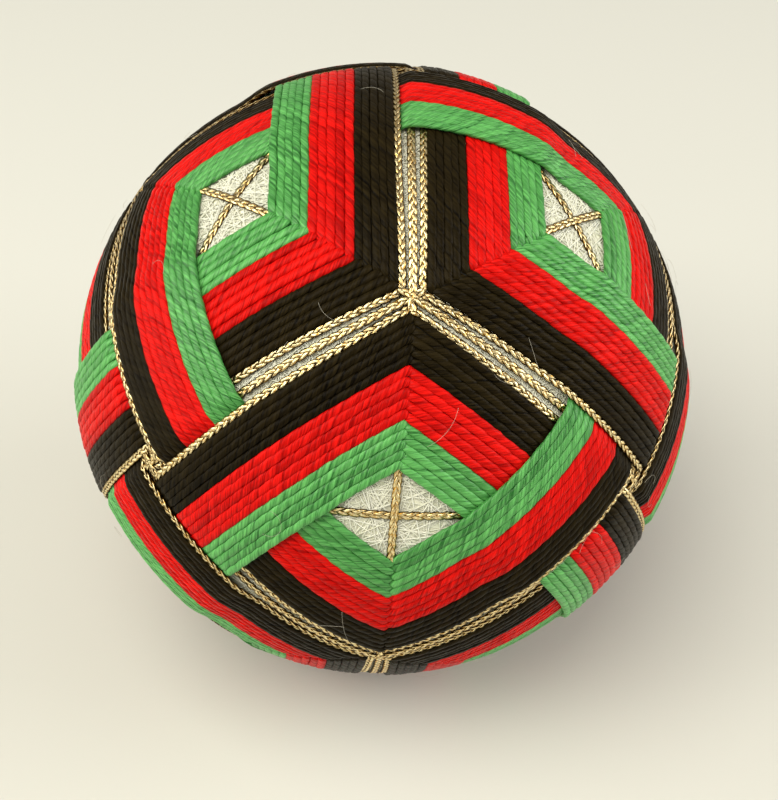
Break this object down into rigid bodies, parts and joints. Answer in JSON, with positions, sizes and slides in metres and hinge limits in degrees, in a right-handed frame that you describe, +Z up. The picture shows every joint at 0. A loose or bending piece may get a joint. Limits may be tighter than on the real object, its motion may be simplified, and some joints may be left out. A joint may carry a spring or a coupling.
{
  "type": "temari ball",
  "caption": "Thread-wound hand ball embroidered with interlaced triangular bands in green, red, black and gold thread.",
  "frame": {"origin": "middle of the flat spot that the ball rests on", "axes": "+Z up through the middle of the ball, -Y towards the side that the picture shows, +X to that side's right"},
  "size_m": [0.0751, 0.0744, 0.0753],
  "materials": {
    "ground_thread": "matt cream white sewing thread, wound in all directions",
    "green_thread": "soft sheen of two-ply twisted cotton",
    "red_thread": "soft sheen of two-ply twisted cotton",
    "black_thread": "soft sheen of two-ply twisted cotton",
    "gold_thread": "glittering braided metallic thread"
  },
  "bodies": {
    "root": {"mari_ball": "ground_thread", "marking_threads": "gold_thread", "green_band_1": "green_thread", "green_band_2": "green_thread", "green_band_3": "green_thread", "green_band_4": "green_thread", "green_band_5": "green_thread", "green_band_6": "green_thread", "green_band_7": "green_thread", "green_band_8": "green_thread", "red_band_1": "red_thread", "red_band_2": "red_thread", "red_band_3": "red_thread", "red_band_4": "red_thread", "red_band_5": "red_thread", "red_band_6": "red_thread", "red_band_7": "red_thread", "red_band_8": "red_thread", "black_band_1": "black_thread", "black_band_2": "black_thread", "black_band_3": "black_thread", "black_band_4": "black_thread", "black_band_5": "black_thread", "black_band_6": "black_thread", "black_band_7": "black_thread", "black_band_8": "black_thread", "gold_edge_1": "gold_thread", "gold_edge_2": "gold_thread", "gold_edge_3": "gold_thread", "gold_edge_4": "gold_thread", "gold_edge_5": "gold_thread", "gold_edge_6": "gold_thread", "gold_edge_7": "gold_thread", "gold_edge_8": "gold_thread"}
  },
  "joints": []
}
